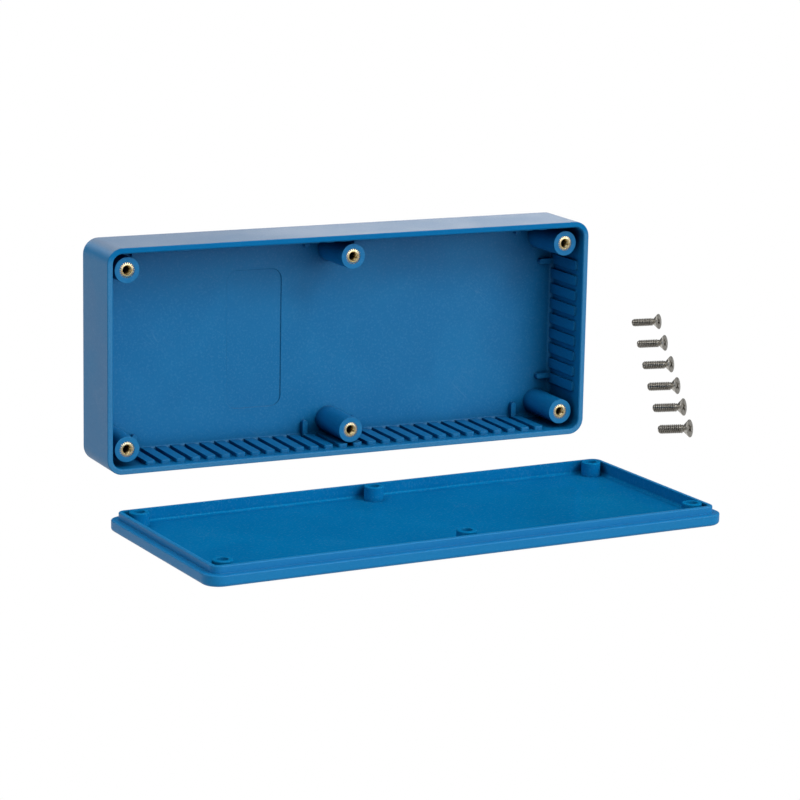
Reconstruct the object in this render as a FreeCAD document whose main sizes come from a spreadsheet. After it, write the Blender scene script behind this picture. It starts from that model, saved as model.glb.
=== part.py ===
import FreeCAD, Part
import math
import os
import Sketcher

# A plastic project enclosure, laid out apart on a bench: an open tray standing on one long side,
# its lipped lid lying inner side up in front of it, and six countersunk screws in a row beside
# them. Six inserts sit in the tray's posts. Millimetres, +Z up. X runs along the tray, the tray
# opens towards -Y, and the origin is the centre of the long side the tray stands on.

# ------------------------------------------------------------------------------- dimensions
# Rows of (alias, value) for the spreadsheet.
SIZES = [
    # tray shell, also the lid's outline
    ("tray_length", 193.0), ("tray_width", 82.0), ("tray_depth", 26.0), ("corner_rad", 5.8),
    ("wall", 2.1), ("floor_thick", 2.0), ("back_round", 1.0), ("cavity_round", 1.8),
    ("rim_chamfer", 0.35),
    # how far an added feature starts inside the material it grows from
    ("overlap", 0.5),
    # posts; the recess is measured down from the rim
    ("post_inset", 8.5), ("post_dia", 9.8), ("post_taper", 0.6), ("post_recess", 3.1),
    ("post_bore_dia", 5.6), ("post_bore_deep", 8.5),
    # guide ribs on the walls; "far" sizes belong to the three walls the tray doesn't stand on
    ("rib_pitch", 5.85), ("rib_width", 3.7), ("rib_round", 0.8), ("rib_root", 0.6),
    ("rib_proud", 1.4), ("rib_recess", 2.9), ("rib_proud_far", 0.9), ("rib_recess_far", 4.1),
    # board rests; the reach is measured in from the tray's outside
    ("rest_offset", 10.0), ("rest_width", 2.0), ("rest_high", 2.0), ("rest_reach", 8.8),
    ("rest_reach_high", 7.6),
    # blank panel sunk in the tray's floor
    ("panel_centre", 30.3), ("panel_long", 51.8), ("panel_wide", 21.8), ("panel_rad", 4.0),
    ("panel_deep", 0.3),
    # lid
    ("lid_flange", 3.8), ("lid_skin", 1.8), ("lid_round", 1.2), ("lip_offset", 2.5),
    ("lip_thick", 1.6), ("lip_high", 2.5), ("boss_dia", 6.8), ("boss_top", 6.8),
    ("boss_bore", 4.0), ("sink_dia", 7.4),
    # inserts
    ("insert_dia", 5.64), ("insert_long", 6.5), ("insert_bore", 2.9), ("insert_mouth", 3.5),
    # screws
    ("screw_long", 12.7), ("screw_dia", 3.5), ("head_dia", 6.9), ("head_band", 0.25),
    ("tip_chamfer", 0.5), ("cross_span", 3.9), ("cross_slot", 0.95), ("cross_deep", 1.5),
]
SINK_ANGLE = 82.0  # full angle of the lid's countersinks and of the screw heads, degrees
LONG_WALL_RIBS = 28
SHORT_WALL_RIBS = 9

# Places on the bench
LID_YAW = 2.68
LID_CORNER = (-118.5, -162.55)  # where the square corner of the lid's outline at -X, y 0 lands
SCREW_YAW = 50.0  # heading of the head end, clockwise from +X
SCREW_HEADS = [  # x, y of each head's top centre
    (231.1, 159.4), (208.4, 115.3), (187.3, 74.2), (167.5, 35.8), (149.0, -0.2), (131.6, -34.0),
]

V = FreeCAD.Vector
doc = FreeCAD.newDocument("enclosure")


class Dim:
    """A size as a number and as the sheet expression that gives it. Arithmetic keeps both."""

    def __init__(self, value, text):
        self.value = value
        self.text = text

    def __add__(self, other):
        return Dim(self.value + other.value, "(%s + %s)" % (self.text, other.text))

    def __sub__(self, other):
        return Dim(self.value - other.value, "(%s - %s)" % (self.text, other.text))

    def __neg__(self):
        return Dim(-self.value, "(-%s)" % self.text)

    def __mul__(self, number):
        return Dim(self.value * number, "(%s * %r)" % (self.text, number))

    def __truediv__(self, other):
        if not isinstance(other, Dim):
            other = Dim(other, "%r" % other)
        return Dim(self.value / other.value, "(%s / %s)" % (self.text, other.text))


class Sizes:
    """Writes the sheet and holds each of its sizes as an attribute."""

    def __init__(self, rows):
        sheet = doc.addObject("Spreadsheet::Sheet", "dims")
        for row, (alias, value) in enumerate(rows, start=1):
            sheet.set("A%d" % row, alias)
            sheet.set("B%d" % row, "%.6g" % value)
            sheet.setAlias("B%d" % row, alias)
            setattr(self, alias, Dim(value, "dims." + alias))
        doc.recompute()


size = Sizes(SIZES)
ZERO = Dim(0.0, "0")

# Levels and places shared by several features
half_long = size.tray_length / 2
width = size.tray_width
rim = size.tray_depth / 2
tray_back = -rim
tray_floor = tray_back + size.floor_thick
post_top = rim - size.post_recess
end_post_x = half_long - size.post_inset
POST_X = (-end_post_x, ZERO, end_post_x)
POST_Y = (size.post_inset, width - size.post_inset)


# --------------------------------------------------------------------------- sketch helpers
def origin_feature(body, role):
    for item in body.Origin.OriginFeatures:
        if item.Role == role:
            return item
    raise RuntimeError("no origin feature " + role)


def add_sketch(body, name, role="XY_Plane", lift=None):
    """A sketch on an origin plane, moved along the plane's normal by lift."""
    sk = body.newObject("Sketcher::SketchObject", name)
    sk.AttachmentSupport = [(origin_feature(body, role), "")]
    sk.MapMode = "FlatFace"
    if lift is not None:
        sk.setExpression(".AttachmentOffset.Base.z", lift.text)
    return sk


def constrain(sk, *terms):
    sk.addConstraint(Sketcher.Constraint(*terms))


def bind_last(sk, name, dim):
    """Names the newest constraint and ties it to the sheet."""
    sk.renameConstraint(sk.ConstraintCount - 1, name)
    sk.setExpression("Constraints." + name, dim.text)


def place(sk, name, axis, geo, pos, dim):
    """Fixes a point's coordinate along "X" or "Y". Distances are kept positive on either side."""
    if dim.value == 0:
        constrain(sk, "PointOnObject", geo, pos, -2 if axis == "X" else -1)
        return
    if dim.value > 0:
        constrain(sk, "Distance" + axis, -1, 1, geo, pos, dim.value)
    else:
        dim = -dim
        constrain(sk, "Distance" + axis, geo, pos, -1, 1, dim.value)
    bind_last(sk, name, dim)


def set_radius(sk, name, geo, dim):
    constrain(sk, "Radius", geo, dim.value)
    bind_last(sk, name, dim)


def line(sk, x0, y0, x1, y1):
    sk.addGeometry(Part.LineSegment(V(x0, y0, 0), V(x1, y1, 0)), False)


def corner_arc(sk, x, y, radius, quarter):
    """A quarter circle, starting the given number of quarter turns from +X."""
    full = Part.Circle(V(x, y, 0), V(0, 0, 1), radius)
    turn = math.pi / 2
    sk.addGeometry(Part.ArcOfCircle(full, quarter * turn, (quarter + 1) * turn), False)


def rounded(sk, tag, left, right, low, high, radius):
    """A rectangle with four rounded corners."""
    g = sk.GeometryCount
    x0, x1, y0, y1, r = left.value, right.value, low.value, high.value, radius.value
    line(sk, x0 + r, y0, x1 - r, y0)
    corner_arc(sk, x1 - r, y0 + r, r, -1)
    line(sk, x1, y0 + r, x1, y1 - r)
    corner_arc(sk, x1 - r, y1 - r, r, 0)
    line(sk, x1 - r, y1, x0 + r, y1)
    corner_arc(sk, x0 + r, y1 - r, r, 1)
    line(sk, x0, y1 - r, x0, y0 + r)
    corner_arc(sk, x0 + r, y0 + r, r, 2)
    for k in range(8):
        constrain(sk, "Tangent", g + k, 2, g + (k + 1) % 8, 1)
    constrain(sk, "Horizontal", g)
    constrain(sk, "Horizontal", g + 4)
    constrain(sk, "Vertical", g + 2)
    constrain(sk, "Vertical", g + 6)
    for k in (3, 5, 7):
        constrain(sk, "Equal", g + 1, g + k)
    set_radius(sk, tag + "_rad", g + 1, radius)
    place(sk, tag + "_right", "X", g + 2, 1, right)
    place(sk, tag + "_left", "X", g + 6, 1, left)
    place(sk, tag + "_high", "Y", g + 4, 1, high)
    place(sk, tag + "_low", "Y", g, 1, low)


def case_outline(sk, inset=ZERO):
    """The outline shared by tray and lid, drawn in by inset all round."""
    rounded(sk, "out", -half_long + inset, half_long - inset, inset, width - inset,
            size.corner_rad - inset)


def post_circles(sk, diameter):
    """One circle at each of the six post centres."""
    radius = diameter / 2
    for row, y in enumerate(POST_Y):
        for column, x in enumerate(POST_X):
            g = sk.GeometryCount
            tag = "c%d%d" % (row, column)
            centre = V(x.value, y.value, 0)
            sk.addGeometry(Part.Circle(centre, V(0, 0, 1), radius.value), False)
            set_radius(sk, tag + "_rad", g, radius)
            place(sk, tag + "_x", "X", g, 3, x)
            place(sk, tag + "_y", "Y", g, 3, y)


def polygon(sk, corners):
    """A closed run of straight lines through (x, y) corners."""
    count = len(corners)
    for k, (x, y) in enumerate(corners):
        next_x, next_y = corners[(k + 1) % count]
        line(sk, x.value, y.value, next_x.value, next_y.value)
    for k in range(count):
        constrain(sk, "Coincident", k, 2, (k + 1) % count, 1)
    for k, (x, y) in enumerate(corners):
        place(sk, "p%dx" % k, "X", k, 1, x)
        place(sk, "p%dy" % k, "Y", k, 1, y)


# -------------------------------------------------------------------------- feature helpers
def add_body(label):
    body = doc.addObject("PartDesign::Body", label)
    body.Label = label
    return body


def pad(body, name, sk, length, reverse=False, taper=None):
    feature = body.newObject("PartDesign::Pad", name)
    feature.Profile = sk
    feature.setExpression("Length", length.text)
    feature.Reversed = reverse
    if taper is not None:
        feature.setExpression("TaperAngle", taper.text)
    sk.Visibility = False
    return feature


def pocket(body, name, sk, depth):
    feature = body.newObject("PartDesign::Pocket", name)
    feature.Profile = sk
    feature.setExpression("Length", depth.text)
    sk.Visibility = False


def revolve(body, name, corners):
    """A closed half profile of (radius, height) corners, turned about Z."""
    sk = add_sketch(body, name + "_profile", "XZ_Plane")
    polygon(sk, corners)
    feature = body.newObject("PartDesign::Revolution", name)
    feature.Profile = sk
    feature.ReferenceAxis = (sk, ["V_Axis"])
    feature.Angle = 360.0
    sk.Visibility = False


def repeat(body, name, feature, axis, step, count):
    row = body.newObject("PartDesign::LinearPattern", name)
    row.Originals = [feature]
    row.Direction = (origin_feature(body, axis), [""])
    row.Occurrences = count
    row.setExpression("Length", (step * (count - 1)).text)
    # The pattern had no originals when it was added, so the body didn't take it as its tip.
    body.Tip = row


def on_outline(edge):
    """True for an edge that touches the outside of the tray or lid."""
    box = edge.BoundBox
    near = 0.1
    return (box.XMax > half_long.value - near or box.XMin < -half_long.value + near
            or box.YMin < near or box.YMax > width.value - near)


def off_outline(edge):
    return not on_outline(edge)


def dress_edges(body, kind, name, height, amount, wanted=None):
    """Fillets or chamfers the level edges at a height, or only those the wanted test accepts."""
    doc.recompute()
    base = body.Tip
    tolerance = 1e-3
    names = []
    for number, edge in enumerate(base.Shape.Edges, start=1):
        box = edge.BoundBox
        level = (abs(box.ZMin - height.value) < tolerance
                 and abs(box.ZMax - height.value) < tolerance)
        if level and (wanted is None or wanted(edge)):
            names.append("Edge%d" % number)
    if not names:
        raise RuntimeError("no edges found on " + base.Name)
    feature = body.newObject("PartDesign::" + kind, name)
    feature.Base = (base, names)
    feature.setExpression("Radius" if kind == "Fillet" else "Size", amount.text)


# ------------------------------------------------------------------------------------- tray
def guide_row(tray, side, role, lift, reverse, centre, recess, proud, axis, count):
    """A row of ribs on one wall, centred on it: straight sides, rounded at the rim end."""
    sk = add_sketch(tray, "guide_%s_outline" % side, role, lift)
    first = centre - size.rib_pitch * ((count - 1) / 2)
    left, right = first - size.rib_width / 2, first + size.rib_width / 2
    low, high = tray_floor - size.rib_root, rim - recess
    x0, x1, y0, y1 = left.value, right.value, low.value, high.value
    r = size.rib_round.value
    line(sk, x0, y0, x1, y0)
    line(sk, x1, y0, x1, y1 - r)
    corner_arc(sk, x1 - r, y1 - r, r, 0)
    line(sk, x1 - r, y1, x0 + r, y1)
    corner_arc(sk, x0 + r, y1 - r, r, 1)
    line(sk, x0, y1 - r, x0, y0)
    constrain(sk, "Coincident", 0, 2, 1, 1)
    constrain(sk, "Coincident", 5, 2, 0, 1)
    for k in (1, 2, 3, 4):
        constrain(sk, "Tangent", k, 2, k + 1, 1)
    constrain(sk, "Horizontal", 0)
    constrain(sk, "Horizontal", 3)
    constrain(sk, "Vertical", 1)
    constrain(sk, "Vertical", 5)
    constrain(sk, "Equal", 2, 4)
    set_radius(sk, "rib_rad", 2, size.rib_round)
    place(sk, "rib_right", "X", 1, 1, right)
    place(sk, "rib_left", "X", 5, 2, left)
    place(sk, "rib_top", "Y", 3, 1, high)
    place(sk, "rib_low", "Y", 0, 1, low)
    rib = pad(tray, "guide_" + side, sk, proud + size.rib_root, reverse)
    repeat(tray, "guide_%s_row" % side, rib, axis, size.rib_pitch, count)


def add_guides(tray):
    """Card guides on all four walls, each rooted a little way into its wall."""
    root_depth = size.wall - size.rib_root
    tall = (size.rib_recess, size.rib_proud)
    short = (size.rib_recess_far, size.rib_proud_far)
    # The XZ plane's normal is -Y, so a lift of -y puts the sketch at y.
    along_x = ("X_Axis", LONG_WALL_RIBS)
    guide_row(tray, "low", "XZ_Plane", -root_depth, True, ZERO, *tall, *along_x)
    guide_row(tray, "high", "XZ_Plane", root_depth - width, False, ZERO, *short, *along_x)
    along_y = ("Y_Axis", SHORT_WALL_RIBS)
    middle = width / 2
    guide_row(tray, "left", "YZ_Plane", root_depth - half_long, False, middle, *short, *along_y)
    guide_row(tray, "right", "YZ_Plane", half_long - root_depth, True, middle, *short, *along_y)
    doc.recompute()


def add_rests(tray):
    """Board rests: short rounded bars on the floor, running in from the walls near the posts."""
    sk = add_sketch(tray, "rests_outline", lift=tray_floor - size.overlap)
    half = size.rest_width / 2
    radius = size.rest_width * 0.45
    start = size.wall - size.overlap
    reach = size.rest_reach
    end_x = end_post_x - size.rest_offset
    for n, x in enumerate((-end_x, -size.rest_offset, size.rest_offset, end_x)):
        rounded(sk, "low%d" % n, x - half, x + half, start, reach, radius)
        rounded(sk, "high%d" % n, x - half, x + half, width - size.rest_reach_high,
                width - start, radius)
    for n, y in enumerate((POST_Y[0] + size.rest_offset, POST_Y[1] - size.rest_offset)):
        rounded(sk, "left%d" % n, start - half_long, reach - half_long, y - half, y + half,
                radius)
        rounded(sk, "right%d" % n, half_long - reach, half_long - start, y - half, y + half,
                radius)
    pad(tray, "rests", sk, size.rest_high + size.overlap)
    doc.recompute()


def add_posts(tray):
    """Six posts, tapering towards their ends, each with a blind bore for its insert."""
    root = tray_floor - size.overlap
    sk = add_sketch(tray, "posts_outline", lift=root)
    post_circles(sk, size.post_dia)
    pad(tray, "posts", sk, post_top - root, taper=-size.post_taper)
    doc.recompute()
    sk = add_sketch(tray, "post_bores_outline", lift=post_top)
    post_circles(sk, size.post_bore_dia)
    pocket(tray, "post_bores", sk, size.post_bore_deep)


def make_tray():
    """Modelled floor down and opening up, y from 0 to the width, then stood on its y 0 side."""
    tray = add_body("tray")
    sk = add_sketch(tray, "tray_outline", lift=tray_back)
    case_outline(sk)
    pad(tray, "tray_block", sk, size.tray_depth)
    dress_edges(tray, "Fillet", "tray_back_round", tray_back, size.back_round)

    sk = add_sketch(tray, "cavity_outline", lift=rim)
    case_outline(sk, size.wall)
    pocket(tray, "cavity", sk, size.tray_depth - size.floor_thick)
    dress_edges(tray, "Fillet", "cavity_floor_round", tray_floor, size.cavity_round)

    # a shallow blank panel in the floor, on the -X side of the middle posts
    sk = add_sketch(tray, "panel_outline", lift=tray_floor)
    half_wide, half_panel = size.panel_wide / 2, size.panel_long / 2
    rounded(sk, "panel", -size.panel_centre - half_wide, -size.panel_centre + half_wide,
            width / 2 - half_panel, width / 2 + half_panel, size.panel_rad)
    pocket(tray, "panel", sk, size.panel_deep)
    doc.recompute()

    add_guides(tray)
    add_rests(tray)
    add_posts(tray)
    dress_edges(tray, "Chamfer", "rim_lead_in", rim, size.rim_chamfer, off_outline)
    dress_edges(tray, "Fillet", "rim_edge", rim, size.rim_chamfer, on_outline)
    tray.Placement = FreeCAD.Placement(V(0, 0, 0), FreeCAD.Rotation(V(1, 0, 0), 90))
    doc.recompute()
    return tray


# -------------------------------------------------------------------------------------- lid
def drill_lid(lid):
    """Countersunk clearance holes, drilled from the outer face."""
    sk = add_sketch(lid, "holes_outline")
    post_circles(sk, size.boss_bore)
    doc.recompute()
    holes = lid.newObject("PartDesign::Hole", "holes")
    holes.Profile = sk
    doc.recompute()
    holes.Threaded = False
    holes.DepthType = "ThroughAll"
    holes.HoleCutType = "Countersink"
    holes.HoleCutCustomValues = True
    holes.setExpression("Diameter", size.boss_bore.text)
    holes.setExpression("HoleCutDiameter", size.sink_dia.text)
    holes.HoleCutCountersinkAngle = SINK_ANGLE
    holes.Reversed = True
    sk.Visibility = False
    doc.recompute()


def make_lid():
    """Lies on its outer face, inner side up; its y 0 edge is the one away from the tray."""
    lid = add_body("lid")
    flange_top = size.lid_flange
    lip_top = flange_top + size.lip_high
    sk = add_sketch(lid, "flange_outline")
    case_outline(sk)
    pad(lid, "flange", sk, size.lid_flange)
    sk = add_sketch(lid, "lip_outline", lift=flange_top - size.overlap)
    case_outline(sk, size.lip_offset)
    pad(lid, "lip", sk, size.lip_high + size.overlap)
    dress_edges(lid, "Fillet", "lip_round", lip_top, size.rim_chamfer)
    dress_edges(lid, "Fillet", "lid_back_round", ZERO, size.lid_round)
    dress_edges(lid, "Fillet", "flange_edge", flange_top, size.rim_chamfer, on_outline)

    sk = add_sketch(lid, "recess_outline", lift=lip_top)
    case_outline(sk, size.lip_offset + size.lip_thick)
    pocket(lid, "recess", sk, lip_top - size.lid_skin)
    dress_edges(lid, "Fillet", "recess_floor_round", size.lid_skin, size.back_round)

    boss_root = size.lid_skin - size.overlap
    sk = add_sketch(lid, "bosses_outline", lift=boss_root)
    post_circles(sk, size.boss_dia)
    pad(lid, "bosses", sk, size.boss_top - boss_root)
    dress_edges(lid, "Fillet", "boss_round", size.boss_top, size.rim_chamfer)
    doc.recompute()
    drill_lid(lid)

    turn = FreeCAD.Rotation(V(0, 0, 1), LID_YAW)
    model_corner = V(-half_long.value, 0, 0)
    lid.Placement = FreeCAD.Placement(V(*LID_CORNER, 0) - turn.multVec(model_corner), turn)
    doc.recompute()
    return lid


# ---------------------------------------------------------------------------------- inserts
def make_insert(number, post_x, post_y):
    """A sleeve with a chamfered mouth. Local origin at the mouth's centre, body below it."""
    insert = add_body("insert_%d" % number)
    bore, outside, mouth = size.insert_bore / 2, size.insert_dia / 2, size.insert_mouth / 2
    bottom = -size.insert_long
    revolve(insert, "sleeve%d" % number, [
        (mouth, ZERO), (outside, ZERO), (outside, bottom), (bore, bottom), (bore, bore - mouth),
    ])
    insert.Placement = FreeCAD.Placement(V(post_x.value, -post_top.value, post_y.value),
                                         FreeCAD.Rotation(V(1, 0, 0), 90))
    return insert


# ----------------------------------------------------------------------------------- screws
def screw_placement(head_x, head_y):
    """Lays a screw down on the edge of its head and the end of its shank."""
    head_rad, band = size.head_dia.value / 2, size.head_band.value
    shank_rad = size.screw_dia.value / 2
    contact_span = size.screw_long.value - size.tip_chamfer.value - band
    tilt = math.atan((head_rad - shank_rad) / contact_span)
    yaw = math.radians(SCREW_YAW)
    axis = V(math.cos(yaw) * math.cos(tilt), -math.sin(yaw) * math.cos(tilt), math.sin(tilt))
    head_z = head_rad * math.cos(tilt) + band * math.sin(tilt)
    return FreeCAD.Placement(V(head_x, head_y, head_z), FreeCAD.Rotation(V(0, 0, 1), axis))


def make_screw(number, head_x, head_y):
    """A countersunk screw with a cross recess. Local origin at the centre of the head's top."""
    screw = add_body("screw_%d" % number)
    head, shank, tip = size.head_dia / 2, size.screw_dia / 2, -size.screw_long
    half_angle = SINK_ANGLE / 2
    slope = Dim(math.tan(math.radians(half_angle)), "tan(%g deg)" % half_angle)
    cone_end = -size.head_band - (head - shank) / slope
    revolve(screw, "blank%d" % number, [
        (ZERO, ZERO), (head, ZERO), (head, -size.head_band), (shank, cone_end),
        (shank, tip + size.tip_chamfer), (shank - size.tip_chamfer, tip), (ZERO, tip),
    ])
    doc.recompute()
    arm, slot = size.cross_span / 2, size.cross_slot / 2
    sk = add_sketch(screw, "cross%d" % number)
    polygon(sk, [
        (slot, slot), (slot, arm), (-slot, arm), (-slot, slot), (-arm, slot), (-arm, -slot),
        (-slot, -slot), (-slot, -arm), (slot, -arm), (slot, -slot), (arm, -slot), (arm, slot),
    ])
    pocket(screw, "recess%d" % number, sk, size.cross_deep)
    doc.recompute()
    screw.Placement = screw_placement(head_x, head_y)
    return screw


# -------------------------------------------------------------------------- build and write
def export(pieces):
    bad = [o.Name for o in doc.Objects if any(s in ("Invalid", "Error") for s in o.State)]
    if bad:
        raise RuntimeError("failed objects: " + ", ".join(bad))
    os.makedirs("parts", exist_ok=True)
    for piece in pieces:
        shape = piece.Shape
        if shape.isNull() or not shape.isValid() or len(shape.Solids) != 1:
            raise RuntimeError("bad shape: " + piece.Label)
        shape.exportStep("parts/%s.step" % piece.Label)


pieces = [make_tray(), make_lid()]
post_centres = [(x, y) for y in POST_Y for x in POST_X]
for number, (x, y) in enumerate(post_centres, start=1):
    pieces.append(make_insert(number, x, y))
for number, (x, y) in enumerate(SCREW_HEADS, start=1):
    pieces.append(make_screw(number, x, y))
doc.recompute()
export(pieces)
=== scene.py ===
# A blue plastic case in two parts, with its fixings. The tray stands on a long edge at the back,
# its open side facing -y, with six knurled brass inserts in its posts. The lid lies in front of
# it (-y), inside up, and six countersunk cross-recess screws lie in a row to the right (+x).
# The floor is z = 0.
import math

import bpy
import bmesh
import numpy as np
from mathutils import Matrix, Vector


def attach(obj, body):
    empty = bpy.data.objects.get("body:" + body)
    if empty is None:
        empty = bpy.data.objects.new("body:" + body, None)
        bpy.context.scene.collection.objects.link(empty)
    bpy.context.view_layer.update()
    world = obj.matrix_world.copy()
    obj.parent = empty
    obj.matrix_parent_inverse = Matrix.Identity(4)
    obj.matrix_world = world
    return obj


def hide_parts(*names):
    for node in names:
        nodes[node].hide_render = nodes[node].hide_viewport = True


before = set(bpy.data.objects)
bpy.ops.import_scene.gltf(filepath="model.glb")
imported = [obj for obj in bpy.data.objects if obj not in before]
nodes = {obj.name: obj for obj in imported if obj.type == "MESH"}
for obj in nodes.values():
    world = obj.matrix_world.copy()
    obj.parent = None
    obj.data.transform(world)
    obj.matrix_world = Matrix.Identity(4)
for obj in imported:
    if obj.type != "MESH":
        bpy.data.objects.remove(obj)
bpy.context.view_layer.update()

scene = bpy.context.scene
MM = 0.001
TAU = 2 * math.pi

# ---------------------------------------------------------------- sizes, millimetres
LENGTH, WIDTH, DEPTH = 193.0, 82.0, 26.0     # the tray's x, z and y extents
RIM_Y = -DEPTH / 2                           # end face of the tray's rim
POST_INSET = 8.5                             # post axis from the tray's outer faces
POST_MOUTH_Y = RIM_Y + 3.1
POSTS = [(side * (LENGTH / 2 - POST_INSET), z)
         for z in (POST_INSET, WIDTH - POST_INSET) for side in (-1, 0, 1)]

# The lid's own frame starts at the middle of its front edge, turned by its yaw.
LID_YAW = math.radians(2.68)
LID_CORNER = (-118.5, -162.55)               # left end of the front edge
LID_X = LID_CORNER[0] + LENGTH / 2 * math.cos(LID_YAW)
LID_Y = LID_CORNER[1] + LENGTH / 2 * math.sin(LID_YAW)

PITCH = 0.794                                # thread of both screws and inserts
HEAD_R, SHANK_R, SCREW_LENGTH = 3.45, 1.75, 12.7
HEAD_BAND = 0.25                             # straight edge of the head, above its cone
TIP = 0.5                                    # part of the shank's end clear of the floor
SCREW_YAW = math.radians(50.0)               # the screws' heads point this far right of -y... +x
# x, y of each head's centre, back to front
SCREWS = [(231.1, 159.4), (208.4, 115.3), (187.3, 74.2),
          (167.5, 35.8), (149.0, -0.2), (131.6, -34.0)]


# ---------------------------------------------------------------- mesh helpers
def smooth(mesh, sharp):
    """Smooth shading, with edges sharper than the given degrees kept crisp."""
    mesh.polygons.foreach_set("use_smooth", [True] * len(mesh.polygons))
    mesh.set_sharp_from_angle(angle=math.radians(sharp))


def mesh_object(name, verts, faces, matrix, sharp=35.0):
    """An object from points in millimetres, placed by a matrix in metres."""
    mesh = bpy.data.meshes.new(name)
    mesh.from_pydata([tuple(point) for point in verts], [], faces)
    mesh.validate()
    bm = bmesh.new()
    bm.from_mesh(mesh)
    bmesh.ops.recalc_face_normals(bm, faces=bm.faces)
    bm.to_mesh(mesh)
    bm.free()
    obj = bpy.data.objects.new(name, mesh)
    scene.collection.objects.link(obj)
    mesh.transform(Matrix.Diagonal((MM, MM, MM, 1.0)))
    mesh.transform(matrix)
    smooth(mesh, sharp)
    return obj


def angles(count):
    return np.arange(count) / count * TAU


def ring(radius, z, theta):
    """Points around the z axis; radius and z are numbers or one value per angle."""
    radius = np.broadcast_to(np.asarray(radius, float), theta.shape)
    z = np.broadcast_to(np.asarray(z, float), theta.shape)
    return np.stack([radius * np.cos(theta), radius * np.sin(theta), z], 1)


def band_faces(ring_count, around, looped=False):
    """Quads between neighbouring rings; looped also joins the last ring to the first."""
    faces = []
    for k in range(ring_count if looped else ring_count - 1):
        a, b = k * around, (k + 1) % ring_count * around
        for i in range(around):
            j = (i + 1) % around
            faces.append((a + i, a + j, b + j, b + i))
    return faces


def capped_skin(rings):
    """Points and faces of the skin through rings, top first, closed by a fan at each end."""
    around = len(rings[0])
    verts = [tuple(point) for one in rings for point in one]
    faces = band_faces(len(rings), around)
    base = (len(rings) - 1) * around
    top, bottom = len(verts), len(verts) + 1
    verts += [tuple(np.mean(rings[0], axis=0)), tuple(np.mean(rings[-1], axis=0))]
    faces += [(top, (i + 1) % around, i) for i in range(around)]
    faces += [(bottom, base + i, base + (i + 1) % around) for i in range(around)]
    return verts, faces


def trapezoid(phase, flat, rise):
    """A wave of period 1 from 0 to 1 with straight flanks. Flat and rise are shares of a half
    period: the flat at 0, then the flank up to 1."""
    from_middle = np.abs((phase % 1.0) - 0.5) * 2.0
    return np.clip((from_middle - flat) / rise, 0.0, 1.0)


def thread_wave(phase):
    """0 at the root and 1 at the crest of the thread."""
    return trapezoid(phase, flat=0.14, rise=0.70)


def bake_modifiers(obj):
    depsgraph = bpy.context.evaluated_depsgraph_get()
    mesh = bpy.data.meshes.new_from_object(obj.evaluated_get(depsgraph))
    old = obj.data
    obj.modifiers.clear()
    obj.data = mesh
    bpy.data.meshes.remove(old)


# ---------------------------------------------------------------- node helpers
class Tree:
    """Short ways to add and join shader nodes, in a node tree that it empties first."""

    def __init__(self, tree):
        self.tree = tree
        tree.nodes.clear()

    def put(self, socket, value):
        """Feeds an input from another node's output, or sets its plain value."""
        if isinstance(value, bpy.types.NodeSocket):
            self.tree.links.new(value, socket)
        else:
            socket.default_value = value

    def add(self, kind, inputs=None, **settings):
        node = self.tree.nodes.new("ShaderNode" + kind)
        for key, value in settings.items():
            setattr(node, key, value)
        for key, value in (inputs or {}).items():
            self.put(node.inputs[key], value)
        return node

    def math(self, operation, *values, clamp=False):
        node = self.add("Math", dict(enumerate(values)), operation=operation, use_clamp=clamp)
        return node.outputs[0]

    def product(self, first, *factors):
        for factor in factors:
            first = self.math("MULTIPLY", first, factor)
        return first

    def inverse(self, value):
        return self.math("SUBTRACT", 1.0, value)

    def ramp(self, value, span, out=(0.0, 1.0)):
        """A smooth step across the span, which may run downwards."""
        return self.add("MapRange", {
            "From Min": span[0], "From Max": span[1], "To Min": out[0], "To Max": out[1],
            "Value": value}, interpolation_type="SMOOTHSTEP").outputs["Result"]

    def mix(self, fac, a, b):
        return self.add("Mix", {0: fac, 6: a, 7: b}, data_type="RGBA").outputs[2]

    def tint(self, colour, target, *masks, amount):
        """Moves the colour towards the target by the masks' product times the amount."""
        return self.mix(self.product(*masks, amount), colour, target)

    def noise(self, at, scale, detail=3.0, rough=0.5, distortion=0.0):
        return self.add("TexNoise", {
            "Scale": scale, "Detail": detail, "Roughness": rough, "Distortion": distortion,
            "Vector": at}).outputs["Fac"]

    def split(self, vector):
        return tuple(self.add("SeparateXYZ", {0: vector}).outputs)

    def bevel(self, samples, radius):
        """The normal rounded over edges; radius in millimetres."""
        node = self.add("Bevel", {"Radius": radius * MM}, samples=samples)
        return node.outputs["Normal"]

    def bump(self, height, normal, strength, distance, invert=False):
        """The normal bent by a relief; distance in millimetres."""
        return self.add("Bump", {
            "Strength": strength, "Distance": distance * MM, "Height": height,
            "Normal": normal}, invert=invert).outputs["Normal"]

    def openness(self, distance, only_local=False):
        """Ambient occlusion within a distance in millimetres, 1 where nothing is near."""
        return self.add("AmbientOcclusion", {"Distance": distance * MM}, samples=6,
                        only_local=only_local).outputs["AO"]

    def body_coords(self):
        """The piece's own coordinates in millimetres, so that the texture moves with it."""
        own = self.add("TexCoord").outputs["Object"]
        return self.add("Mapping", {"Scale": (1000, 1000, 1000), "Vector": own}).outputs["Vector"]

    def upward_normal(self):
        """The z part of the piece's own normal."""
        return self.split(self.add("TexCoord").outputs["Normal"])[2]


def new_material(name):
    material = bpy.data.materials.new(name)
    material.use_nodes = True
    tree = Tree(material.node_tree)
    out = tree.add("OutputMaterial")
    bsdf = tree.add("BsdfPrincipled")
    tree.put(out.inputs["Surface"], bsdf.outputs["BSDF"])
    return material, tree, bsdf, out


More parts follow.
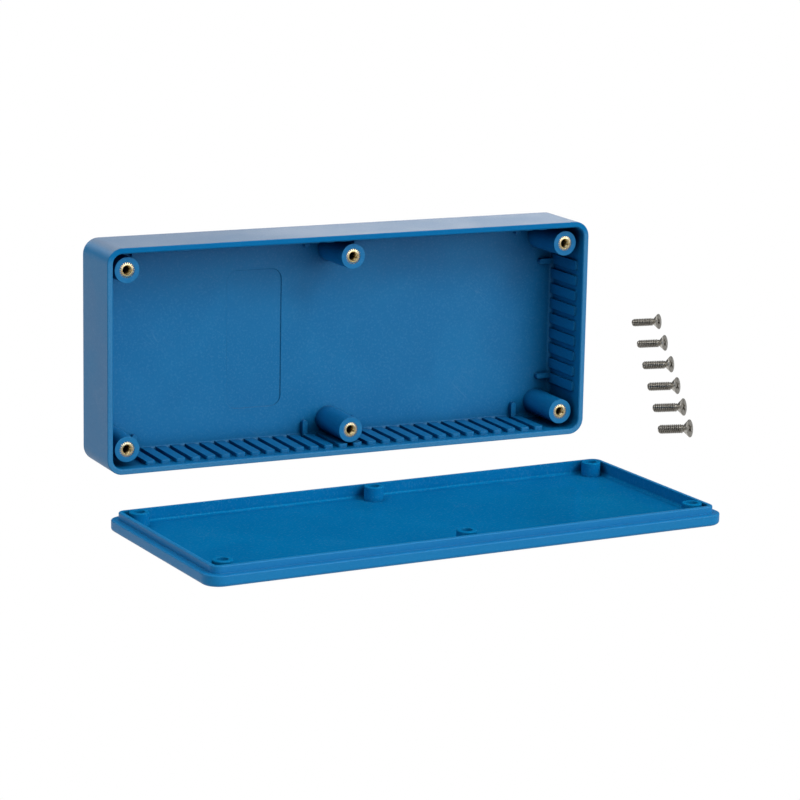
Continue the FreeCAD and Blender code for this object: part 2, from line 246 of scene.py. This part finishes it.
# ---------------------------------------------------------------- blue plastic
BLUE = (0.0016, 0.185, 0.442, 1.0)
BLUE_DEEP = (0.0008, 0.168, 0.415, 1.0)
BLUE_PALE = (0.012, 0.200, 0.455, 1.0)
EDGE_PAINTED_HIGHLIGHT = (0.050, 0.240, 0.470, 1.0)
SCUFF = (0.10, 0.30, 0.52, 1.0)
SPECKLE = (0.040, 0.245, 0.490, 1.0)
SHADE = (0.0, 0.058, 0.165, 1.0)
RIM_PAINTED_HIGHLIGHT = (0.075, 0.270, 0.500, 1.0)
RIM_UPPER_PAINTED_SHADE = (0.0, 0.165, 0.430, 1.0)
TOP_FACE_PAINTED_SHADE = (0.012, 0.050, 0.110, 1.0)
LID_FLOOR_PAINTED_SHADE = (0.0, 0.085, 0.24, 1.0)
LID_OUTSIDE = (0.006, 0.232, 0.560, 1.0)
LID_GLOSS = (0.02, 0.46, 0.74, 1.0)
PLASTIC_IOR = 1.53


def scratches(tree, at, angle, scale, width, seed):
    """Thin straight scratches that break up along their length."""
    turned = tree.add("VectorRotate", {"Rotation": angle, "Vector": at},
                      rotation_type="EULER_XYZ").outputs["Vector"]
    stretched = tree.add("Mapping", {
        "Location": (seed, seed * 0.7, seed * 1.3), "Scale": (0.035, 1.0, 1.0),
        "Vector": turned}).outputs["Vector"]
    cells = tree.add("TexVoronoi", {"Scale": scale, "Vector": stretched},
                     feature="DISTANCE_TO_EDGE").outputs["Distance"]
    line = tree.ramp(cells, span=(0.0, width), out=(1.0, 0.0))
    patch = tree.ramp(tree.noise(at, scale=0.06, detail=2.0), span=(0.60, 0.72))
    return tree.product(line, patch)


def moulded_blue(tree, at, rounded):
    """The colour common to tray and lid, with the slow tone and scuff masks it is made from."""
    slow = tree.noise(at, scale=0.035, detail=2.0, rough=0.55, distortion=0.4)
    colour = tree.mix(tree.ramp(slow, span=(0.35, 0.68)), BLUE_DEEP, BLUE)
    mid = tree.ramp(tree.noise(at, scale=0.45, rough=0.6), span=(0.55, 0.85))
    colour = tree.tint(colour, BLUE_PALE, mid, amount=0.10)
    # paler edges, a painted highlight broken into patches: where the rounded normal turns away from
    # the face's own
    flat_normal = tree.add("NewGeometry").outputs["True Normal"]
    agreement = tree.add("VectorMath", {0: rounded, 1: flat_normal}, operation="DOT_PRODUCT")
    edge = tree.ramp(agreement.outputs["Value"], span=(0.985, 0.80))
    patchy = tree.ramp(tree.noise(at, scale=0.9, detail=4.0, rough=0.7), span=(0.40, 0.66))
    colour = tree.tint(colour, EDGE_PAINTED_HIGHLIGHT, edge, patchy, amount=0.40)
    # light scuffs from handling
    scuffs = tree.math(
        "MAXIMUM",
        scratches(tree, at, angle=(0.3, 0.5, 0.9), scale=0.55, width=0.020, seed=3.1),
        scratches(tree, at, angle=(1.1, -0.4, -0.6), scale=0.45, width=0.018, seed=8.4))
    colour = tree.tint(colour, SCUFF, scuffs, amount=0.30)
    # the moulded texture shows as a fine speckle
    speckle = tree.ramp(tree.noise(at, scale=1.25, detail=2.0, rough=0.75), span=(0.50, 0.66))
    colour = tree.tint(colour, SPECKLE, speckle, amount=0.34)
    return colour, slow, scuffs


def shaded(tree, colour, distance):
    """Darkens corners, grooves and the feet of posts; also returns the openness mask."""
    openness = tree.ramp(tree.openness(distance), span=(0.20, 0.74))
    return tree.mix(openness, SHADE, colour), openness


def gloss_variation(tree, at, slow):
    """A small unevenness of roughness about zero."""
    grain = tree.noise(at, scale=5.5, rough=0.6)
    return tree.math("ADD", tree.ramp(grain, span=(0.3, 0.7), out=(-0.035, 0.035)),
                     tree.ramp(slow, span=(0.3, 0.7), out=(-0.03, 0.03)))


def roughness(tree, base, variation, scuffs):
    """Base and variation together, glossier along the scuffs."""
    total = tree.math("ADD", base, variation)
    return tree.math("ADD", total, tree.product(scuffs, -0.12), clamp=True)


def relief(tree, at, rounded, scuffs, fade=None):
    """The normal with fine spark texture, slow flow marks and scuffs; fade thins the texture."""
    coarse = tree.noise(at, scale=2.1, detail=2.0, rough=0.7)
    texture = tree.math("ADD", tree.noise(at, scale=7.5, detail=2.0, rough=0.55),
                        tree.product(coarse, 1.5))
    if fade is not None:
        texture = tree.product(texture, fade)
    flow = tree.noise(at, scale=0.11, distortion=0.6)
    normal = tree.bump(texture, rounded, strength=0.34, distance=0.050)
    normal = tree.bump(flow, normal, strength=0.16, distance=0.25)
    return tree.bump(scuffs, normal, strength=0.25, distance=0.03, invert=True)


def tray_plastic(base_rough):
    material, tree, bsdf, _ = new_material("tray_blue_abs")
    at = tree.body_coords()
    _, y, z = tree.split(at)
    rounded = tree.bevel(samples=6, radius=0.30)
    colour, slow, scuffs = moulded_blue(tree, at, rounded)

    # the rim's end face is painted paler than the walls, a painted highlight broken into patches,
    # but not along its uppermost run, which is painted darker and deeper as shade
    def rim_end():
        return tree.ramp(y, span=(RIM_Y + 0.14, RIM_Y + 0.03))

    patchy = tree.ramp(tree.noise(at, scale=1.4, rough=0.7), span=(0.25, 0.60), out=(0.45, 1.0))
    below_top = tree.ramp(z, span=(WIDTH - 2.3, WIDTH - 6.0))
    colour = tree.tint(colour, RIM_PAINTED_HIGHLIGHT, rim_end(), patchy, below_top, amount=0.42)
    upper_run = tree.product(rim_end(), tree.inverse(below_top))
    # painted shade along the rim's uppermost run
    colour = tree.tint(colour, RIM_UPPER_PAINTED_SHADE, upper_run, amount=0.70)
    colour, openness = shaded(tree, colour, distance=11.0)

    # painted shade: the upward face of the uppermost wall is painted greyer and darker than the
    # rest
    upward = tree.product(tree.ramp(tree.upward_normal(), span=(0.60, 0.97)),
                          tree.ramp(z, span=(WIDTH - 3.0, WIDTH - 0.8)))
    tree.put(bsdf.inputs["Base Color"], tree.tint(colour, TOP_FACE_PAINTED_SHADE, upward, amount=0.62))

    # satin; both ends of this ramp are equal, so the base is the same all over
    base = tree.ramp(slow, span=(0.0, 1.0), out=(base_rough, base_rough))
    variation = gloss_variation(tree, at, slow)
    tree.put(bsdf.inputs["Roughness"], roughness(tree, base, variation, scuffs))
    bsdf.inputs["IOR"].default_value = PLASTIC_IOR
    # painted shade in the sheen: the specular level falls where the corners are painted shaded, and
    # along the rim's uppermost run
    upper_run_sheen_cut = tree.inverse(tree.product(upper_run, 0.80))
    specular = tree.product(tree.ramp(openness, span=(0.0, 1.0), out=(0.05, 0.25)), upper_run_sheen_cut)
    tree.put(bsdf.inputs["Specular IOR Level"], specular)
    tree.put(bsdf.inputs["Normal"], relief(tree, at, rounded, scuffs))
    return material


def lid_plastic(base_rough):
    """Its inside floor and walls come off a polished mould face, its outside off a textured one."""
    material, tree, bsdf, out = new_material("lid_blue_abs")
    # coordinates from the middle of the front edge, along the lid's own sides
    offset = tree.add("VectorMath", {0: tree.body_coords(), 1: (LID_X, LID_Y, 0)},
                      operation="SUBTRACT").outputs[0]
    at = tree.add("VectorRotate", {"Angle": -LID_YAW, "Vector": offset},
                  rotation_type="Z_AXIS").outputs["Vector"]
    x, y, z = tree.split(at)
    rounded = tree.bevel(samples=6, radius=0.30)
    colour, slow, scuffs = moulded_blue(tree, at, rounded)
    colour, _ = shaded(tree, colour, distance=3.5)

    def within(from_middle, half):
        """1 inside the walls, fading out across their inner faces."""
        return tree.ramp(tree.math("ABSOLUTE", from_middle), span=(half - 3.6, half - 4.0))

    flat = tree.ramp(tree.upward_normal(), span=(0.95, 0.995))
    inside = tree.product(within(x, LENGTH / 2),
                          within(tree.math("SUBTRACT", y, WIDTH / 2), WIDTH / 2),
                          tree.ramp(z, span=(1.2, 1.6)))
    floor = tree.product(inside, tree.ramp(z, span=(2.6, 2.0)))

    def by_side(outer, inner):
        return tree.ramp(inside, span=(0.0, 1.0), out=(outer, inner))

    # painted shade: the lid's floor is made a little darker
    colour = tree.tint(colour, LID_FLOOR_PAINTED_SHADE, floor, amount=0.10)
    colour = tree.tint(colour, LID_OUTSIDE, tree.inverse(inside), amount=0.55)
    tree.put(bsdf.inputs["Base Color"], colour)
    tree.put(bsdf.inputs["Specular IOR Level"], by_side(outer=0.20, inner=0.0))
    variation = tree.product(gloss_variation(tree, at, slow), by_side(outer=1.0, inner=0.35))
    base = by_side(outer=base_rough, inner=0.12)
    tree.put(bsdf.inputs["Roughness"], roughness(tree, base, variation, scuffs))
    bsdf.inputs["IOR"].default_value = PLASTIC_IOR
    normal = relief(tree, at, rounded, scuffs, fade=by_side(outer=1.0, inner=0.12))
    tree.put(bsdf.inputs["Normal"], normal)

    # the polished inside shows its surroundings through the dye, so its gloss is blue
    gloss = tree.add("BsdfGlossy", {"Color": LID_GLOSS, "Roughness": 0.09, "Normal": normal})
    floor_lustre = tree.product(floor, flat, 0.12)
    share = tree.math("ADD", tree.product(inside, 0.025), floor_lustre)
    both = tree.add("MixShader", {0: share, 1: bsdf.outputs["BSDF"], 2: gloss.outputs["BSDF"]})
    tree.put(out.inputs["Surface"], both.outputs[0])
    return material


# ---------------------------------------------------------------- metals
BORE_PAINTED_SHADE = (0.030, 0.020, 0.008, 1.0)
GAP_PLASTIC = (0.002, 0.150, 0.370, 1.0)


def metal(name, dark, pale, stain, groove_shade, rough, grain_scale, in_post=False):
    """Mottled, stained metal. With in_post it is painted darker deep in a tray post, as shade, and
    plastic covers it where the "gap" attribute is high."""
    material, tree, bsdf, _ = new_material(name)
    at = tree.body_coords()
    tone = tree.noise(at, scale=1.3, detail=4.0, rough=0.65, distortion=0.3)
    colour = tree.mix(tree.ramp(tone, span=(0.3, 0.7)), dark, pale)
    stained = tree.ramp(tree.noise(at, scale=0.55, rough=0.7), span=(0.52, 0.75))
    colour = tree.tint(colour, stain, stained, amount=0.55)
    # painted shade: thread grooves, the driver recess and the gaps between teeth are painted darker
    openness = tree.openness(distance=0.8, only_local=True)
    colour = tree.mix(tree.ramp(openness, span=(0.30, 0.88)), groove_shade, colour)
    metallic = 1.0
    if in_post:
        _, y, _ = tree.split(at)
        # painted shade deep in the post's bore
        deep = tree.ramp(y, span=(POST_MOUTH_Y + 1.0, POST_MOUTH_Y + 3.2), out=(0.0, 0.93))
        colour = tree.mix(deep, colour, BORE_PAINTED_SHADE)
        gap = tree.add("Attribute", attribute_name="gap").outputs["Fac"]
        fill = tree.ramp(gap, span=(0.30, 0.70))
        colour = tree.mix(fill, colour, GAP_PLASTIC)
        metallic = tree.inverse(fill)
    tree.put(bsdf.inputs["Metallic"], metallic)
    tree.put(bsdf.inputs["Base Color"], colour)
    grain = tree.noise(at, scale=grain_scale, rough=0.6)
    tree.put(bsdf.inputs["Roughness"],
             tree.ramp(grain, span=(0.25, 0.75), out=(rough - 0.07, rough + 0.08)))
    rounded = tree.bevel(samples=4, radius=0.05)
    tree.put(bsdf.inputs["Normal"], tree.bump(grain, rounded, strength=0.25, distance=0.02))
    return material


tray_mat = tray_plastic(base_rough=0.40)
lid_mat = lid_plastic(base_rough=0.36)
brass = metal("insert_brass", dark=(0.74, 0.56, 0.26, 1), pale=(1.0, 0.88, 0.56, 1),
              stain=(0.45, 0.30, 0.11, 1), groove_shade=(0.36, 0.25, 0.10, 1),
              rough=0.20, grain_scale=9.0, in_post=True)
steel = metal("screw_nickel", dark=(0.33, 0.31, 0.27, 1), pale=(0.68, 0.655, 0.60, 1),
              stain=(0.20, 0.18, 0.145, 1), groove_shade=(0.045, 0.038, 0.030, 1),
              rough=0.19, grain_scale=8.0)


def dress(obj, material):
    obj.data.materials.clear()
    obj.data.materials.append(material)


dress(nodes["tray"], tray_mat)
dress(nodes["lid"], lid_mat)


# ---------------------------------------------------------------- thread inserts
def insert_mesh(turn):
    """Knurled sleeve, mouth at z = 0 and body below, with a helical thread in its bore.
    Returns points, faces and each point's share of plastic filling between the teeth."""
    teeth, points_per_tooth = 21, 10
    theta = angles(teeth * points_per_tooth)
    tooth_tip, root, length = 2.815, 2.16, 6.5
    bore, crest, mouth = 1.74, 1.46, 1.62        # radii of thread root, thread crest and mouth
    face_edge = 2.79                             # outer radius of the end face
    tooth = trapezoid(theta * teeth / TAU, flat=0.26, rise=0.40)
    knurl = root + (tooth_tip - root) * tooth
    knurl_end = np.minimum(knurl, root + 0.02)
    filled = np.clip((0.78 - tooth) / 0.30, 0.0, 1.0)

    # the bore, from the bottom up, then the mouth's lip and the smooth part of the end face
    inner = []
    steps = int((length - 0.45) / (PITCH / 12))
    for k in range(steps + 1):
        z = -length + 0.02 + (length - 0.40) * k / steps
        wave = thread_wave(z / PITCH - (theta + turn) / TAU)
        inner.append(ring(bore - (bore - crest) * wave, z, theta))
    # radius, z
    lip = [(mouth, -0.20), (mouth + 0.06, -0.05), (mouth + 0.12, 0.0), (1.92, 0.0), (2.24, -0.04)]
    inner += [ring(radius, z, theta) for radius, z in lip]
    # the knurl runs out through the end face; plastic, slightly sunk, fills its gaps
    face = [(2.27, -0.05 - 0.05 * filled), (face_edge, -0.10 - 0.10 * filled),
            (face_edge, -0.40)]
    # two knurled bands with a groove between, downwards
    sleeve = [(knurl, -0.60), (knurl, -2.55), (knurl_end, -2.75),
              (root - 0.08, -2.85), (root - 0.08, -3.60),
              (knurl_end, -3.70), (knurl, -3.90), (knurl, -length + 0.25),
              (root - 0.05, -length + 0.01)]
    rings = inner + [ring(radius, z, theta) for radius, z in face + sleeve]
    verts = [tuple(point) for one in rings for point in one]
    gap = np.zeros((len(rings), len(theta)))
    gap[len(inner):len(inner) + len(face)] = filled
    return verts, band_faces(len(rings), len(theta), looped=True), gap.ravel()


def place_insert(number, x, z):
    """Presses an insert into a post, its mouth facing -y. Each is spun differently, while its
    thread keeps the same start."""
    spin = 0.37 * number
    verts, faces, gap = insert_mesh(spin)
    place = (Matrix.Translation(Vector((x, POST_MOUTH_Y, z)) * MM)
             @ Matrix.Rotation(math.radians(90), 4, "X") @ Matrix.Rotation(spin, 4, "Z"))
    obj = mesh_object("knurled_insert_%d" % number, verts, faces, place, sharp=30.0)
    layer = obj.data.attributes.new("gap", "FLOAT", "POINT")
    layer.data.foreach_set("value", gap.astype(np.float32))
    dress(obj, brass)
    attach(obj, "tray")
    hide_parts("insert_%d" % number)
    return obj


inserts = [place_insert(number, x, z) for number, (x, z) in enumerate(POSTS, start=1)]


# ---------------------------------------------------------------- screws
def screw_mesh():
    """Head top at z = 0, shank below. One skin: head, cone, neck, thread, chamfered tip."""
    theta = angles(64)
    cone = (HEAD_R - SHANK_R) / math.tan(math.radians(41.0))
    minor = 1.28                                 # radius at the thread's root
    neck = minor + 0.12
    edge = HEAD_R - 0.005
    # radius, z of the head's rounded edge
    head = [(HEAD_R - 0.10, 0.0), (HEAD_R - 0.03, -0.03), (edge, -0.10), (edge, -HEAD_BAND)]
    rings = [ring(radius, z, theta) for radius, z in head]
    for share in np.linspace(0.06, 1.0, 8):
        rings.append(ring(HEAD_R + (neck - HEAD_R) * share,
                          -HEAD_BAND - (cone + 0.30) * share, theta))
    start = HEAD_BAND + cone + 0.42
    rings.append(ring(minor + 0.08, -start, theta))
    end = SCREW_LENGTH - 0.02
    steps = int((end - start) / (PITCH / 14))
    for k in range(1, steps + 1):
        along = start + (end - start) * k / steps
        wave = thread_wave(along / PITCH + theta / TAU)
        # the thread rises to full height over its first turn
        fade = min(1.0, max(0.0, (along - start) / (0.9 * PITCH)))
        radius = minor + (SHANK_R - 0.004 - minor) * wave * fade
        # chamfer towards the tip
        limit = SHANK_R - 0.75 * max(0.0, 0.75 - (SCREW_LENGTH - along))
        rings.append(ring(np.minimum(radius, limit), -along, theta))
    rings.append(ring(0.85, -SCREW_LENGTH + 0.002, theta))
    return capped_skin(rings)


def cross_cutter():
    """A cross for the driver recess, tapering downwards."""
    # arm length from the axis, half width, z
    levels = [(2.02, 0.50, 0.3), (1.90, 0.46, 0.0), (1.15, 0.36, -1.15), (0.55, 0.30, -1.55)]
    verts = []
    for a, c, z in levels:
        outline = [(c, c), (c, a), (-c, a), (-c, c), (-a, c), (-a, -c),
                   (-c, -c), (-c, -a), (c, -a), (c, -c), (a, -c), (a, c)]
        verts += [(x, y, z) for x, y in outline]
    around, total = len(outline), len(verts)
    faces = band_faces(len(levels), around)
    faces.append(tuple(range(around)))
    faces.append(tuple(range(total - 1, total - around - 1, -1)))
    return verts, faces


def make_screw():
    """One screw about the origin, in metres, with its recess cut."""
    blank = mesh_object("screw_blank", *screw_mesh(), Matrix.Identity(4))
    cutter = mesh_object("screw_cutter", *cross_cutter(), Matrix.Identity(4))
    cut = blank.modifiers.new("recess", "BOOLEAN")
    cut.operation = "DIFFERENCE"
    cut.solver = "EXACT"
    cut.object = cutter
    bpy.context.view_layer.update()
    bake_modifiers(blank)
    bpy.data.objects.remove(cutter)
    smooth(blank.data, 32.0)
    return blank


def lay_screws():
    """Lays each screw on the floor, resting on its head's edge and the end of its shank."""
    master = make_screw()
    tilt = math.atan((HEAD_R - SHANK_R) / (SCREW_LENGTH - TIP - HEAD_BAND))
    # the screw's axis, from tip to head
    axis = Vector((math.cos(SCREW_YAW) * math.cos(tilt),
                   -math.sin(SCREW_YAW) * math.cos(tilt), math.sin(tilt)))
    side = Vector((math.sin(SCREW_YAW), math.cos(SCREW_YAW), 0.0))
    basis = Matrix((side, axis.cross(side), axis)).transposed().to_4x4()
    head_z = HEAD_R * math.cos(tilt) + HEAD_BAND * math.sin(tilt)
    for number, (x, y) in enumerate(SCREWS, start=1):
        roll = math.radians(27 + 2.0 * math.sin(number * 2.1))
        mesh = master.data.copy()
        mesh.transform(Matrix.Translation(Vector((x, y, head_z)) * MM) @ basis
                       @ Matrix.Rotation(roll, 4, "Z"))
        obj = bpy.data.objects.new("threaded_screw_%d" % number, mesh)
        scene.collection.objects.link(obj)
        dress(obj, steel)
        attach(obj, "screw_%d" % number)
        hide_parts("screw_%d" % number)
    bpy.data.objects.remove(master)


lay_screws()


# ---------------------------------------------------------------- studio
def studio_world():
    """Plain white to the camera. What lights the objects and shows in them is a softer, uneven
    room: lobes of brightness over the sphere of directions."""
    world = bpy.data.worlds.new("studio")
    scene.world = world
    world.use_nodes = True
    tree = Tree(world.node_tree)
    out = tree.add("OutputWorld")
    background = tree.add("Background", {"Color": (1, 1, 1, 1)})
    tree.put(out.inputs["Surface"], background.outputs[0])
    to_camera = tree.add("LightPath").outputs["Is Camera Ray"]
    x, y, z = tree.split(tree.add("TexCoord").outputs["Generated"])
    back = tree.ramp(y, span=(-0.18, 0.18))
    front = tree.inverse(back)
    right = tree.ramp(x, span=(-0.25, 0.25))
    left = tree.inverse(right)
    right_side = tree.ramp(x, span=(0.72, 0.90))
    rest = tree.inverse(right_side)
    upper = tree.ramp(z, span=(-0.06, 0.03))
    lower = tree.inverse(upper)
    high = tree.ramp(z, span=(0.42, 0.62))
    low = tree.math("SUBTRACT", upper, high)
    # lobe, brightness, masks that bound it
    lobes = [
        ("back_low", 0.15, (back, low, rest)),
        ("back_below", 0.73, (back, lower, rest)),
        ("front_below", 0.43, (front, lower, rest)),
        ("front_left", 0.05, (front, low, left)),
        ("front_right", 2.60, (front, low, right, rest)),
        ("high_left", 1.20, (high, left)),
        ("high_right", 0.25, (high, right)),
        ("right_side", 0.42, (right_side,)),
    ]
    room = None
    for name, brightness, masks in lobes:
        level = tree.add("Value")
        level.name = "lobe_" + name
        level.outputs[0].default_value = brightness
        lobe = tree.product(level.outputs[0], *masks)
        room = lobe if room is None else tree.math("ADD", room, lobe)
    lighting = tree.product(room, tree.inverse(to_camera))
    tree.put(background.inputs["Strength"], tree.math("ADD", lighting, to_camera))


def area(name, location, target, width, height, power):
    """A rectangular light aimed at a point, in metres and watts, unseen by the camera."""
    data = bpy.data.lights.new(name, "AREA")
    data.energy = power
    data.shape = "RECTANGLE"
    data.size = width
    data.size_y = height
    obj = bpy.data.objects.new(name, data)
    obj.location = location
    obj.rotation_mode = "QUATERNION"
    obj.rotation_quaternion = (Vector(target) - Vector(location)).to_track_quat("-Z", "Y")
    obj.visible_camera = False
    scene.collection.objects.link(obj)
    return obj


def lights():
    area("key", location=(0.55, -0.95, 0.95), target=(0.0, -0.02, 0.03),
         width=0.45, height=0.45, power=4.9)
    area("over", location=(0.0, -0.25, 1.25), target=(0.0, -0.05, 0.0),
         width=0.7, height=0.7, power=0.40)
    # white cards standing behind the tray; they light only the tray and its inserts, so the
    # lid's floor doesn't mirror them
    cards = [area("card_left", location=(-0.05, 0.30, 0.33), target=(-0.05, 0.0, 0.33),
                  width=0.30, height=0.40, power=0.60),
             area("card_right", location=(0.27, 0.30, 0.33), target=(0.27, 0.0, 0.33),
                  width=0.46, height=0.40, power=1.50)]
    lit = bpy.data.collections.new("lit_by_cards")
    for obj in [nodes["tray"]] + inserts:
        lit.objects.link(obj)
    for card in cards:
        card.light_linking.receiver_collection = lit


def camera():
    """In front of the case, to its left and above, looking back, right and down."""
    data = bpy.data.cameras.new("cam")
    obj = bpy.data.objects.new("cam", data)
    scene.collection.objects.link(obj)
    data.sensor_fit = "HORIZONTAL"
    data.sensor_width = 36.0
    data.lens = 138.0735
    data.clip_start, data.clip_end = 0.05, 50.0
    right = Vector((0.9014633, -0.4324478, 0.0187829)).normalized()
    ahead = Vector((0.4261998, 0.8791856, -0.2130409)).normalized()
    # squared up, so that the three axes are exactly perpendicular
    up = right.cross(ahead).normalized()
    right = ahead.cross(up).normalized()
    place = Matrix((right, up, -ahead)).transposed().to_4x4()
    place.translation = Vector((-0.466388, -1.013380, 0.261395))
    obj.matrix_world = place
    scene.camera = obj


studio_world()
lights()
camera()

scene.view_settings.view_transform = "Standard"
scene.view_settings.look = "None"
scene.view_settings.exposure = 0.0
scene.view_settings.gamma = 1.0
